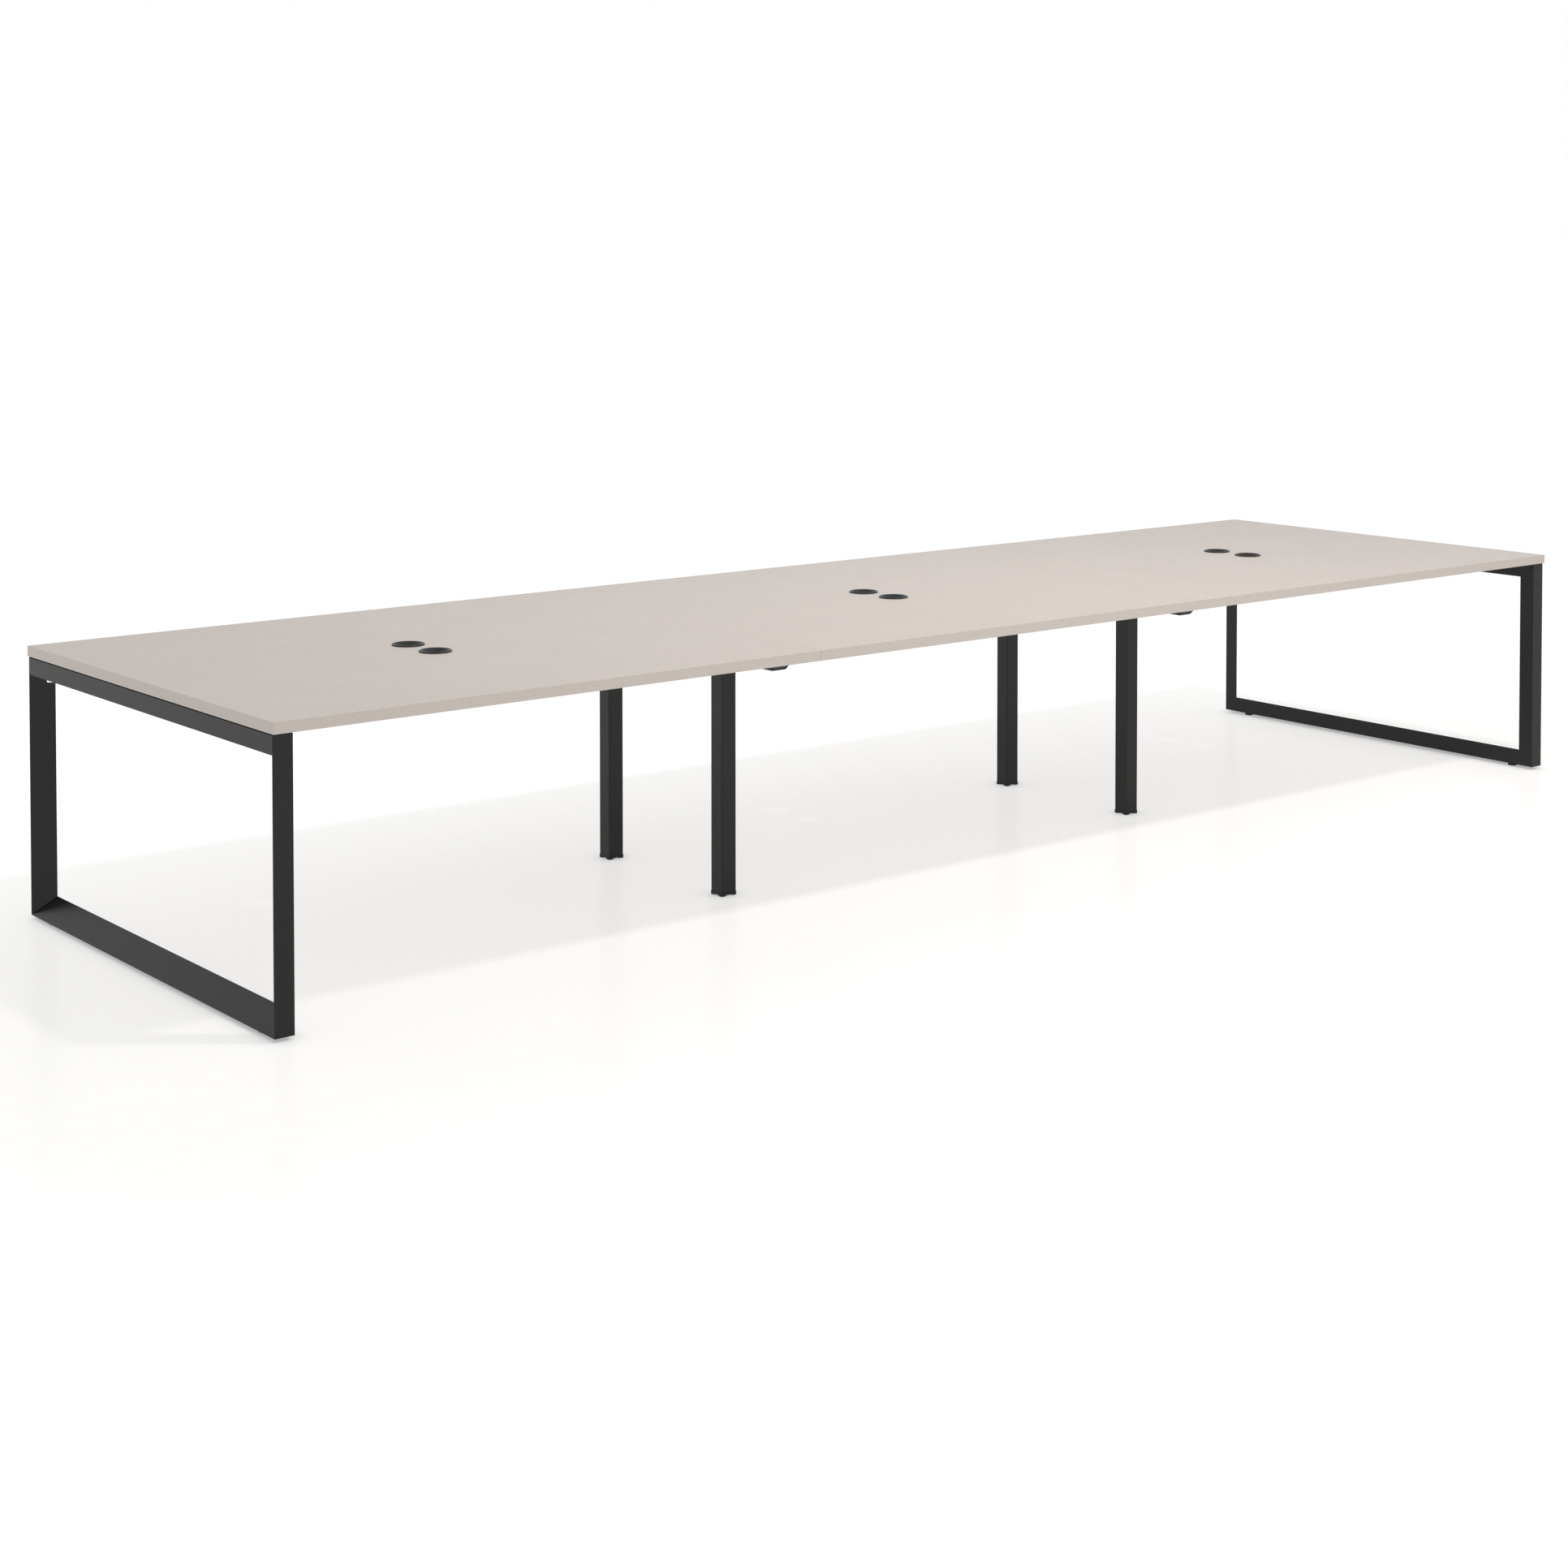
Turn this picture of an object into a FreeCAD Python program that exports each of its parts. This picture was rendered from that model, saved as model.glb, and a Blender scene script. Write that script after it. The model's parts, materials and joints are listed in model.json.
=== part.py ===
import FreeCAD, Part
import math
import os

# Bench desk: three boards end to end, carried by two loop end frames and two crossbeams on square legs.
# Millimetres. The floor is Z = 0, X runs along the desk, Y across it, and the origin is under the centre.

# Boards
board_length = 1599.6
board_depth = 1400.0
board_thickness = 28.0
seam_gap = 0.6
desk_height = 735.0
edge_band_thickness = 2.0
edge_band_round = 0.5

# Cable ports: a moulded ring let into the board, with a funnel down to a round cable hole
port_spacing = 140.0
port_hole_diameter = 80.0
port_rebate_depth = 1.0
port_rebate_clearance = 0.3
ring_clearance = 0.3
ring_wall = 2.0
ring_barrel_length = 22.0
ring_flange_overlap = 4.0
ring_height = 4.0
ring_rim_width = 4.0
ring_rim_round = 2.4
funnel_depth = 15.0
funnel_rim_round = 3.0
cable_hole_diameter = 40.0
cable_hole_round = 1.5
cable_hole_lip = 4.0

# End frames: a rectangular top rail over posts and a bottom rail of wedge-shaped tube
frame_end_inset = 1.0
frame_side_inset = 7.0
frame_depth = 52.0
frame_wall = 2.0
frame_edge_round = 1.0
rail_height = 45.5
wedge_thickness = 54.5
wedge_edge = 2.5
notch_height = 20.3
notch_depth = 17.5
slot_height = 32.0
slot_wrap = 6.0

# Round glides under the end frames
glide_end_inset = 96.0
glide_inset = 25.0
glide_diameter = 31.0
glide_height = 9.3
glide_chamfer = 1.5
glide_stud_length = 18.0
glide_nut_across = 17.0
glide_nut_height = 8.0

# Square legs and their levelling feet
leg_spacing = 546.0
leg_size = 50.0
leg_wall = 2.0
leg_round = 3.0
foot_overhang = 1.3
foot_height = 10.0
foot_pad_size = 15.0
foot_pad_height = 3.0
foot_stud_length = 40.0
plug_height = 25.0
stud_diameter = 10.0
stud_chamfer = 1.0
stud_clearance = 0.2
foot_seat_gap = 0.2
tube_fit_clearance = 0.2

# Crossbeams over the legs, cut back at a slant at both ends
crossbeam_width = 50.0
crossbeam_wall = 2.0
crossbeam_round = 3.0
crossbeam_low_length = 1040.0
crossbeam_end_slant = 46.0
end_cap_inset = 1.5
end_cap_thickness = 4.0
leg_plate_thickness = 6.0
leg_bolt_spacing = 24.0
leg_bolt_diameter = 8.0
leg_bolt_head_across = 13.0
leg_bolt_head_height = 5.3
leg_bolt_access_diameter = 16.0

# Long beams that tie the frames and crossbeams together
beam_width = 30.0
beam_height = 40.0
beam_wall = 2.0
beam_round = 2.0
beam_plate_thickness = 4.0
beam_plate_margin = 12.0
beam_bolt_side_gap = 13.0
beam_bolt_diameter = 6.0
beam_bolt_head_across = 10.0
beam_bolt_head_height = 4.0
beam_nut_across = 10.0
beam_nut_height = 5.0
bolt_end_length = 1.0
bolt_clearance = 0.2

# Screws that hold the boards down, and the strips and spacers that keep the shadow gap
spacer_height = 3.0
spacer_diameter = 18.0
rail_strip_inset = 6.0
rail_strip_end_inset = 1.0
rail_strip_end_length = 12.0
screw_diameter = 5.0
screw_clearance = 0.1
screw_bite = 18.0
screw_head_diameter = 11.0
screw_head_height = 3.0
screw_access_diameter = 13.0
rail_screw_inner_y = 150.0
rail_screw_end_inset = 120.0
crossbeam_screw_inner_y = 120.0
crossbeam_screw_end_inset = 100.0
crossbeam_screw_offset = 15.0
beam_screw_end_inset = 300.0

# Derived heights
underside_z = desk_height - board_thickness
frame_top_z = underside_z - spacer_height
rail_low_z = frame_top_z - rail_height
frame_low_z = glide_height + foot_seat_gap
leg_low_z = foot_height + foot_seat_gap
beam_low_z = frame_top_z - beam_height
beam_bolt_z = frame_top_z - beam_height / 2

# Derived places along and across the desk
board_pitch = board_length + seam_gap
seam_x = board_pitch / 2
desk_half_length = board_pitch + board_length / 2
frame_outer_x = desk_half_length - frame_end_inset
frame_inner_x = frame_outer_x - frame_depth
rail_middle_x = frame_outer_x - frame_depth / 2
frame_half_width = board_depth / 2 - frame_side_inset
glide_x = frame_inner_x + glide_inset
glide_y = frame_half_width - glide_end_inset
leg_y = leg_spacing / 2
beam_bolt_offset = beam_width / 2 + beam_bolt_side_gap
beam_plate_half_width = beam_bolt_offset + beam_plate_margin
crossbeam_low_half = crossbeam_low_length / 2
barrel_radius = port_hole_diameter / 2 - ring_clearance
flange_radius = port_hole_diameter / 2 + ring_flange_overlap
screw_hole_diameter = screw_diameter + 2 * screw_clearance
stud_hole_diameter = stud_diameter + 2 * stud_clearance
cut_margin = 1.0

BAYS = {"left": -1, "middle": 0, "right": 1}
ENDS = {"left": -1, "right": 1}
SIDES = {"front": -1, "rear": 1}


def vec(x, y, z):
    return FreeCAD.Vector(x, y, z)


def span_box(x_span, y_span, z_span):
    """Box between two values along each axis."""
    size = [high - low for low, high in (x_span, y_span, z_span)]
    return Part.makeBox(*size, vec(x_span[0], y_span[0], z_span[0]))


def rounded_wire(points, radii):
    """Closed wire through the points, each corner rounded to its own radius, 0 for a sharp one."""
    count = len(points)
    arcs = []
    for i, corner in enumerate(points):
        if radii[i] == 0:
            arcs.append((corner, None, corner))
            continue
        back = (points[i - 1] - corner).normalize()
        ahead = (points[(i + 1) % count] - corner).normalize()
        half_angle = back.getAngle(ahead) / 2
        middle = (back + ahead).normalize()
        reach = radii[i] / math.tan(half_angle)
        nearest = radii[i] / math.sin(half_angle) - radii[i]
        arcs.append((corner + back * reach, corner + middle * nearest, corner + ahead * reach))
    edges = []
    for i, (start, through, end) in enumerate(arcs):
        if through is not None:
            edges.append(Part.Arc(start, through, end).toShape())
        edges.append(Part.makeLine(end, arcs[(i + 1) % count][0]))
    return Part.Wire(edges)


def prism(points, radius, direction):
    """Solid swept along the direction from an outline with every corner rounded alike."""
    return Part.Face(rounded_wire(points, [radius] * len(points))).extrude(direction)


def upright_bar(width, depth, radius, low, high):
    """Bar of rounded rectangular section, standing on the Z axis."""
    x = width / 2
    y = depth / 2
    points = [vec(-x, -y, low), vec(x, -y, low), vec(x, y, low), vec(-x, y, low)]
    return prism(points, radius, vec(0, 0, high - low))


def hexagon(across, height, base, axis):
    """Hexagonal prism with flats this far apart, from the base point along the axis."""
    corner = across / math.sqrt(3)
    side = vec(0, 0, 1) if abs(axis.z) < 0.5 else vec(1, 0, 0)
    other = axis.cross(side)
    angles = [math.radians(30 + 60 * i) for i in range(6)]
    points = [base + side * (corner * math.cos(a)) + other * (corner * math.sin(a)) for a in angles]
    return prism(points, 0, axis * height)


def drilled(shape, places, diameter, low, high):
    """The shape with upright round holes at the (x, y) places, between two heights."""
    return shape.cut([Part.makeCylinder(diameter / 2, high - low, vec(x, y, low)) for x, y in places])


def turned(points, radii):
    """Solid turned about the Z axis from an outline of (radius, height) points."""
    outline = rounded_wire([vec(r, 0, z) for r, z in points], radii)
    return Part.Face(outline).revolve(vec(0, 0, 0), vec(0, 0, 1), 360)


def mirrored_x(shape):
    return shape.mirror(vec(0, 0, 0), vec(1, 0, 0))


def mirrored_y(shape):
    return shape.mirror(vec(0, 0, 0), vec(0, 1, 0))


# Where the repeated pieces stand

def port_places(bay):
    return {side: (bay * board_pitch, sign * port_spacing / 2) for side, sign in SIDES.items()}


def leg_places():
    places = {}
    for end, x_sign in ENDS.items():
        for side, y_sign in SIDES.items():
            places[end + "_" + side] = (x_sign * seam_x, y_sign * leg_y)
    return places


def glide_places():
    places = {}
    for end, x_sign in ENDS.items():
        for side, y_sign in SIDES.items():
            places[end + "_" + side] = (x_sign * glide_x, y_sign * glide_y)
    return places


def rail_screw_ys():
    outer = frame_half_width - rail_screw_end_inset
    return [-outer, -rail_screw_inner_y, rail_screw_inner_y, outer]


def crossbeam_screw_places():
    """Screw places on a crossbeam, from its own middle: one row in each of the two boards that meet there."""
    outer = crossbeam_low_half - crossbeam_screw_end_inset
    rows = [-outer, -crossbeam_screw_inner_y, crossbeam_screw_inner_y, outer]
    return [(x, y) for x in (-crossbeam_screw_offset, crossbeam_screw_offset) for y in rows]


def leg_bolt_places():
    half = leg_bolt_spacing / 2
    return [(0, sign * leg_y + step) for sign in SIDES.values() for step in (-half, half)]


def beam_spans():
    """Where each bay's long beams start and end, from face to face of what they tie."""
    near = seam_x - crossbeam_width / 2
    far = seam_x + crossbeam_width / 2
    return {"left": (-frame_inner_x, -far), "middle": (-near, near), "right": (far, frame_inner_x)}


def beam_bolt_ys():
    offsets = (-beam_bolt_offset, beam_bolt_offset)
    return [sign * leg_y + offset for sign in SIDES.values() for offset in offsets]


def rail_screw_places(sign):
    return [(sign * rail_middle_x, y) for y in rail_screw_ys()]


def inner_screw_places():
    """Screw places on the crossbeams and the long beams."""
    places = []
    for sign in ENDS.values():
        places += [(sign * seam_x + x, y) for x, y in crossbeam_screw_places()]
    for start, end in beam_spans().values():
        for x in (start + beam_screw_end_inset, end - beam_screw_end_inset):
            places += [(x, sign * leg_y) for sign in SIDES.values()]
    return places


def screw_places():
    rails = [place for sign in ENDS.values() for place in rail_screw_places(sign)]
    return rails + inner_screw_places()


# Boards and their edge bands

def board_outline(bay, inset):
    """A board's body at its place, taken in on all four edges."""
    half_x = board_length / 2 - inset
    half_y = board_depth / 2 - inset
    middle_x = bay * board_pitch
    return span_box((middle_x - half_x, middle_x + half_x), (-half_y, half_y), (underside_z, desk_height))


def board(bay):
    """One board inside its edge bands, with its cable ports, their rebates and the screws' pilot holes."""
    core = board_outline(bay, edge_band_thickness)
    ports = port_places(bay).values()
    rebate_diameter = 2 * (flange_radius + port_rebate_clearance)
    core = drilled(core, ports, port_hole_diameter, underside_z, desk_height)
    core = drilled(core, ports, rebate_diameter, desk_height - port_rebate_depth, desk_height)
    half = board_length / 2
    pilots = [place for place in screw_places() if abs(place[0] - bay * board_pitch) < half]
    return drilled(core, pilots, screw_hole_diameter, underside_z, underside_z + screw_bite + cut_margin)


def edge_band(bay):
    """Four strips round one board: the long ones run the board's full length."""
    blank = board_outline(bay, 0)
    edge_round = min(edge_band_round, edge_band_thickness / 2)
    ring = blank.makeFillet(edge_round, blank.Edges).cut(board_outline(bay, edge_band_thickness))
    middle_x = bay * board_pitch
    half_x = board_length / 2
    half_y = board_depth / 2
    inner_y = half_y - edge_band_thickness
    whole_x = (middle_x - half_x, middle_x + half_x)
    height = (underside_z, desk_height)
    zones = [
        span_box(whole_x, (-half_y, -inner_y), height),
        span_box(whole_x, (inner_y, half_y), height),
        span_box((middle_x - half_x, middle_x), (-inner_y, inner_y), height),
        span_box((middle_x, middle_x + half_x), (-inner_y, inner_y), height),
    ]
    return Part.makeCompound([ring.common(zone).Solids[0] for zone in zones])


# Cable ports

def port_ring():
    """Ring of a cable port: rounded rim, barrel, and a funnel to a lipped hole. Z = 0 is the desk top."""
    hole_radius = cable_hole_diameter / 2
    lip_radius = hole_radius + ring_wall
    inside_radius = barrel_radius - ring_wall
    rim_radius = flange_radius - ring_rim_width
    hole_z = ring_height - funnel_depth
    lip_z = hole_z - cable_hole_lip
    seat_z = -port_rebate_depth
    slope = funnel_depth / (rim_radius - hole_radius)
    under_z = hole_z - ring_wall * math.hypot(1, slope)
    points = [(hole_radius, hole_z), (hole_radius, lip_z), (lip_radius, lip_z)]
    points += [(radius, under_z + slope * (radius - hole_radius)) for radius in (lip_radius, inside_radius)]
    points += [(inside_radius, -ring_barrel_length)]
    points += [(barrel_radius, -ring_barrel_length), (barrel_radius, seat_z)]
    points += [(flange_radius, seat_z), (flange_radius, ring_height), (rim_radius, ring_height)]
    sharp = [0] * (len(points) - 3)
    return turned(points, [cable_hole_round, *sharp, ring_rim_round, funnel_rim_round])


# End frames: the left one is drawn, and the right one is its mirror image

wedge_slope = (wedge_thickness - wedge_edge) / frame_depth


def wedge_outline():
    """Section of the wedge tube: distance in from the end face, and in from the frame's outer edge."""
    return [(0, 0), (frame_depth, 0), (frame_depth, wedge_thickness), (0, wedge_edge)]


def wedge_hollow():
    shift = frame_wall * math.hypot(1, wedge_slope)
    deep = frame_depth - frame_wall
    tip = (frame_wall + shift - wedge_edge) / wedge_slope
    return [(tip, frame_wall), (deep, frame_wall), (deep, wedge_edge + wedge_slope * deep - shift)]


def upright_point(inward, across, z):
    return vec(-frame_outer_x + inward, -frame_half_width + across, z)


def lying_point(inward, up, y):
    return vec(-frame_outer_x + inward, y, frame_low_z + up)


def left_top_rail():
    """Closed rectangular rail across the top of the frame, with screw, access and bolt holes."""
    outline = upright_bar(frame_depth, 2 * frame_half_width, frame_edge_round, rail_low_z, frame_top_z)
    inner_x = frame_depth / 2 - frame_wall
    inner_y = frame_half_width - frame_wall
    hollow_z = (rail_low_z + frame_wall, frame_top_z - frame_wall)
    rail = outline.cut(span_box((-inner_x, inner_x), (-inner_y, inner_y), hollow_z))
    screws = [(0, y) for y in rail_screw_ys()]
    rail = drilled(rail, screws, screw_hole_diameter, hollow_z[1], frame_top_z)
    rail = drilled(rail, screws, screw_access_diameter, rail_low_z, hollow_z[0])
    hole_radius = beam_bolt_diameter / 2 + bolt_clearance
    holes = []
    for y in beam_bolt_ys():
        holes.append(Part.makeCylinder(hole_radius, frame_wall, vec(inner_x, y, beam_bolt_z), vec(1, 0, 0)))
    return rail.cut(holes).translated(vec(-rail_middle_x, 0, 0))


def left_front_post():
    """Wedge post from the mitre at the bottom up to the rail."""
    height = vec(0, 0, rail_low_z - frame_low_z)
    outside = prism([upright_point(u, v, frame_low_z) for u, v in wedge_outline()], frame_edge_round, height)
    inside = prism([upright_point(u, v, frame_low_z) for u, v in wedge_hollow()], 0, height)
    edge = -frame_half_width - cut_margin
    mitre = wedge_thickness + 2 * cut_margin
    low = frame_low_z - cut_margin
    clip = [(edge, low), (edge, rail_low_z), (edge + mitre, rail_low_z), (edge + mitre, low + mitre)]
    start_x = -frame_outer_x - cut_margin
    width = vec(frame_depth + 2 * cut_margin, 0, 0)
    clip_block = prism([vec(start_x, y, z) for y, z in clip], 0, width)
    return outside.cut(inside).common(clip_block)


def left_rear_post():
    """The front post's mirror image, with a cable notch through its inner corner under the rail.
    A taller slot in the walls behind the notch lets the cables down into the post."""
    inner_edge = -frame_inner_x + cut_margin
    corner_y = frame_half_width - wedge_thickness
    outer_edge = frame_half_width + cut_margin
    top = rail_low_z + cut_margin
    notch_x = (-frame_inner_x - notch_depth, inner_edge)
    notch = span_box(notch_x, (corner_y - cut_margin, outer_edge), (rail_low_z - notch_height, top))
    slot_x = (-frame_inner_x - slot_wrap, inner_edge)
    slot = span_box(slot_x, (corner_y + slot_wrap, outer_edge), (rail_low_z - slot_height, top))
    return mirrored_y(left_front_post()).cut([notch, slot])


def left_bottom_rail():
    """Wedge rail along the floor, mitred into both posts, with holes for the glides' studs."""
    length = vec(0, 2 * frame_half_width, 0)
    start_y = -frame_half_width
    outside = prism([lying_point(u, v, start_y) for u, v in wedge_outline()], frame_edge_round, length)
    inside = prism([lying_point(u, v, start_y) for u, v in wedge_hollow()], 0, length)
    edge = frame_half_width + cut_margin
    mitre = wedge_thickness + 2 * cut_margin
    low = frame_low_z - cut_margin
    clip = [(-edge, low), (edge, low), (edge - mitre, low + mitre), (-edge + mitre, low + mitre)]
    width = vec(frame_depth + 2 * cut_margin, 0, 0)
    clip_block = prism([vec(-frame_outer_x - cut_margin, y, z) for y, z in clip], 0, width)
    rail = outside.cut(inside).common(clip_block)
    studs = [(-glide_x, sign * glide_y) for sign in SIDES.values()]
    return drilled(rail, studs, stud_hole_diameter, frame_low_z, frame_low_z + frame_wall)


# Levelling glides and feet

def glide():
    """Round glide with its moulded-in stud, standing on Z = 0."""
    radius = glide_diameter / 2
    stud = stud_diameter / 2
    top = glide_height + glide_stud_length
    points = [(0, 0), (radius - glide_chamfer, 0), (radius, glide_chamfer)]
    points += [(radius, glide_height - glide_chamfer), (radius - glide_chamfer, glide_height)]
    points += [(stud, glide_height), (stud, top - stud_chamfer), (stud - stud_chamfer, top), (0, top)]
    return turned(points, [0] * len(points))


def glide_nut(place):
    base = vec(*place, frame_low_z + frame_wall)
    nut = hexagon(glide_nut_across, glide_nut_height, base, vec(0, 0, 1))
    return drilled(nut, [place], stud_hole_diameter, base.z, base.z + glide_nut_height)


def foot():
    """Square levelling foot with four corner pads and its moulded-in stud, standing on Z = 0."""
    size = leg_size + 2 * foot_overhang
    block = upright_bar(size, size, leg_round + foot_overhang, 0, foot_height)
    arch = size / 2 - foot_pad_size
    reach = size / 2 + cut_margin
    low = (-cut_margin, foot_pad_height)
    arches = [span_box((-arch, arch), (-reach, reach), low), span_box((-reach, reach), (-arch, arch), low)]
    stud = stud_diameter / 2
    top = foot_height + foot_stud_length
    points = [(0, foot_height), (stud, foot_height), (stud, top - stud_chamfer)]
    points += [(stud - stud_chamfer, top), (0, top)]
    return block.cut(arches).fuse(turned(points, [0] * len(points))).removeSplitter()


# Legs and crossbeams

def leg():
    """Square tube from the foot up to the crossbeam, on the Z axis."""
    inside = leg_size - 2 * leg_wall
    tube = upright_bar(leg_size, leg_size, leg_round, leg_low_z, rail_low_z)
    inner_round = max(leg_round - leg_wall, 0)
    return tube.cut(upright_bar(inside, inside, inner_round, leg_low_z, rail_low_z))


def leg_insert(low, high):
    """Block that fits inside a leg's tube."""
    size = leg_size - 2 * leg_wall - 2 * tube_fit_clearance
    return upright_bar(size, size, max(leg_round - leg_wall, 0), low, high)


def leg_plug():
    plug = leg_insert(leg_low_z, leg_low_z + plug_height)
    return drilled(plug, [(0, 0)], stud_hole_diameter, leg_low_z, leg_low_z + plug_height)


def leg_top_plate():
    plate = leg_insert(rail_low_z - leg_plate_thickness, rail_low_z)
    holes = [(0, -leg_bolt_spacing / 2), (0, leg_bolt_spacing / 2)]
    hole_diameter = leg_bolt_diameter + 2 * bolt_clearance
    return drilled(plate, holes, hole_diameter, rail_low_z - leg_plate_thickness, rail_low_z)


def leg_bolt():
    """Hexagon bolt that pulls a leg's top plate up against the crossbeam, on the Z axis."""
    seat = rail_low_z + crossbeam_wall
    length = crossbeam_wall + leg_plate_thickness + bolt_end_length
    shank = Part.makeCylinder(leg_bolt_diameter / 2, length, vec(0, 0, seat - length))
    return hexagon(leg_bolt_head_across, leg_bolt_head_height, vec(0, 0, seat), vec(0, 0, 1)).fuse(shank)


def slanted_block(end_shift):
    """Block with a crossbeam's slanted ends, its ends drawn in by the shift."""
    rise = crossbeam_end_slant / rail_height
    low_y = crossbeam_low_half - end_shift - rise * cut_margin
    high_y = crossbeam_low_half - end_shift + crossbeam_end_slant + rise * cut_margin
    low = rail_low_z - cut_margin
    high = frame_top_z + cut_margin
    corners = [(-low_y, low), (low_y, low), (high_y, high), (-high_y, high)]
    return prism([vec(-crossbeam_width, y, z) for y, z in corners], 0, vec(2 * crossbeam_width, 0, 0))


def crossbeam_bar(inset):
    """Bar of the crossbeam's section, drawn in on its four sides, longer than the crossbeam."""
    x = crossbeam_width / 2 - inset
    low = rail_low_z + inset
    high = frame_top_z - inset
    start = -crossbeam_low_half - crossbeam_end_slant - cut_margin
    points = [vec(-x, start, low), vec(x, start, low), vec(x, start, high), vec(-x, start, high)]
    return prism(points, max(crossbeam_round - inset, 0), vec(0, -2 * start, 0))


def crossbeam():
    """Open-ended tube over a pair of legs, on the Y axis, drilled for screws, leg bolts and beam bolts."""
    tube = crossbeam_bar(0).cut(crossbeam_bar(crossbeam_wall)).common(slanted_block(0))
    low_wall = (rail_low_z, rail_low_z + crossbeam_wall)
    high_wall = (frame_top_z - crossbeam_wall, frame_top_z)
    tube = drilled(tube, crossbeam_screw_places(), screw_hole_diameter, *high_wall)
    tube = drilled(tube, crossbeam_screw_places(), screw_access_diameter, *low_wall)
    tube = drilled(tube, leg_bolt_places(), leg_bolt_access_diameter, *high_wall)
    tube = drilled(tube, leg_bolt_places(), leg_bolt_diameter + 2 * bolt_clearance, *low_wall)
    hole_radius = beam_bolt_diameter / 2 + bolt_clearance
    start = vec(-crossbeam_width / 2, 0, beam_bolt_z)
    holes = []
    for y in beam_bolt_ys():
        holes.append(Part.makeCylinder(hole_radius, crossbeam_width, start + vec(0, y, 0), vec(1, 0, 0)))
    return tube.cut(holes)


def crossbeam_end_caps():
    """The two slanted plates that close a crossbeam's ends, set a little inside them."""
    core = crossbeam_bar(crossbeam_wall + tube_fit_clearance)
    plates = core.common(slanted_block(end_cap_inset)).cut(slanted_block(end_cap_inset + end_cap_thickness))
    return plates.Solids


# Long beams, their end plates and bolts

def beam(span, y):
    """Rectangular tube between two end plates, drilled for its board screws."""
    start = span[0] + beam_plate_thickness
    length = vec(span[1] - span[0] - 2 * beam_plate_thickness, 0, 0)

    def section(inset):
        half = beam_width / 2 - inset
        corners = [(-half, beam_low_z + inset), (half, beam_low_z + inset)]
        corners += [(half, frame_top_z - inset), (-half, frame_top_z - inset)]
        points = [vec(start, y + across, z) for across, z in corners]
        return prism(points, max(beam_round - inset, 0), length)

    tube = section(0).cut(section(beam_wall))
    screws = [(span[0] + beam_screw_end_inset, y), (span[1] - beam_screw_end_inset, y)]
    tube = drilled(tube, screws, screw_hole_diameter, frame_top_z - beam_wall, frame_top_z)
    return drilled(tube, screws, screw_access_diameter, beam_low_z, beam_low_z + beam_wall)


def beam_end_pieces():
    """End plates, bolts and nuts at both ends of every long beam, as three lists."""
    plates = []
    bolts = []
    nuts = []
    walls = {
        "left": (frame_wall, crossbeam_wall),
        "middle": (crossbeam_wall, crossbeam_wall),
        "right": (crossbeam_wall, frame_wall),
    }
    for bay, span in beam_spans().items():
        for face_x, wall, inward in zip(span, walls[bay], (1, -1)):
            for sign in SIDES.values():
                plates.append(beam_plate(face_x, sign * leg_y, inward))
            for y in beam_bolt_ys():
                bolts.append(beam_bolt(vec(face_x, y, beam_bolt_z), wall, inward))
                nuts.append(beam_nut(vec(face_x - inward * wall, y, beam_bolt_z), -inward))
    return plates, bolts, nuts


def beam_plate(face_x, y, inward):
    x_span = sorted((face_x, face_x + inward * beam_plate_thickness))
    y_span = (y - beam_plate_half_width, y + beam_plate_half_width)
    plate = span_box(x_span, y_span, (beam_low_z, frame_top_z))
    hole_radius = beam_bolt_diameter / 2 + bolt_clearance
    holes = []
    for offset in (-beam_bolt_offset, beam_bolt_offset):
        base = vec(x_span[0], y + offset, beam_bolt_z)
        holes.append(Part.makeCylinder(hole_radius, beam_plate_thickness, base, vec(1, 0, 0)))
    return plate.cut(holes)


def beam_bolt(face, wall, inward):
    """Bolt whose head sits on the end plate and whose shank runs out through the wall into its nut."""
    axis = vec(inward, 0, 0)
    seat = face + axis * beam_plate_thickness
    length = beam_plate_thickness + wall + beam_nut_height + bolt_end_length
    shank = Part.makeCylinder(beam_bolt_diameter / 2, length, seat, axis * -1)
    return hexagon(beam_bolt_head_across, beam_bolt_head_height, seat, axis).fuse(shank)


def beam_nut(base, outward):
    axis = vec(outward, 0, 0)
    nut = hexagon(beam_nut_across, beam_nut_height, base, axis)
    hole_radius = beam_bolt_diameter / 2 + bolt_clearance
    return nut.cut(Part.makeCylinder(hole_radius, beam_nut_height, base, axis))


# Screws, strips and spacers under the boards

def tube_wall_at(place):
    """Wall that a board screw's head bears on: the end rail's, the crossbeam's or the long beam's."""
    x, y = place
    if abs(x) > frame_inner_x:
        return frame_wall
    if abs(abs(x) - seam_x) < crossbeam_width / 2:
        return crossbeam_wall
    return beam_wall


def board_screw(place):
    seat = frame_top_z - tube_wall_at(place)
    head_base = vec(*place, seat - screw_head_height)
    head = Part.makeCylinder(screw_head_diameter / 2, screw_head_height, head_base)
    shank = Part.makeCylinder(screw_diameter / 2, underside_z + screw_bite - seat, vec(*place, seat))
    return head.fuse(shank)


def rail_strip(sign):
    """Flat strip along the top of an end rail, set in from its sides and widened at its two ends."""
    half_width = frame_depth / 2 - rail_strip_inset
    half_end_width = frame_depth / 2 - rail_strip_end_inset
    half_length = frame_half_width - rail_strip_end_inset
    height = (frame_top_z, underside_z)
    strip = span_box((-half_width, half_width), (-half_length, half_length), height)
    end_span = (half_length - rail_strip_end_length, half_length)
    end = span_box((-half_end_width, half_end_width), end_span, height)
    strip = strip.fuse([end, mirrored_y(end)]).removeSplitter()
    strip = strip.translated(vec(sign * rail_middle_x, 0, 0))
    return drilled(strip, rail_screw_places(sign), screw_hole_diameter, *height)


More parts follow.
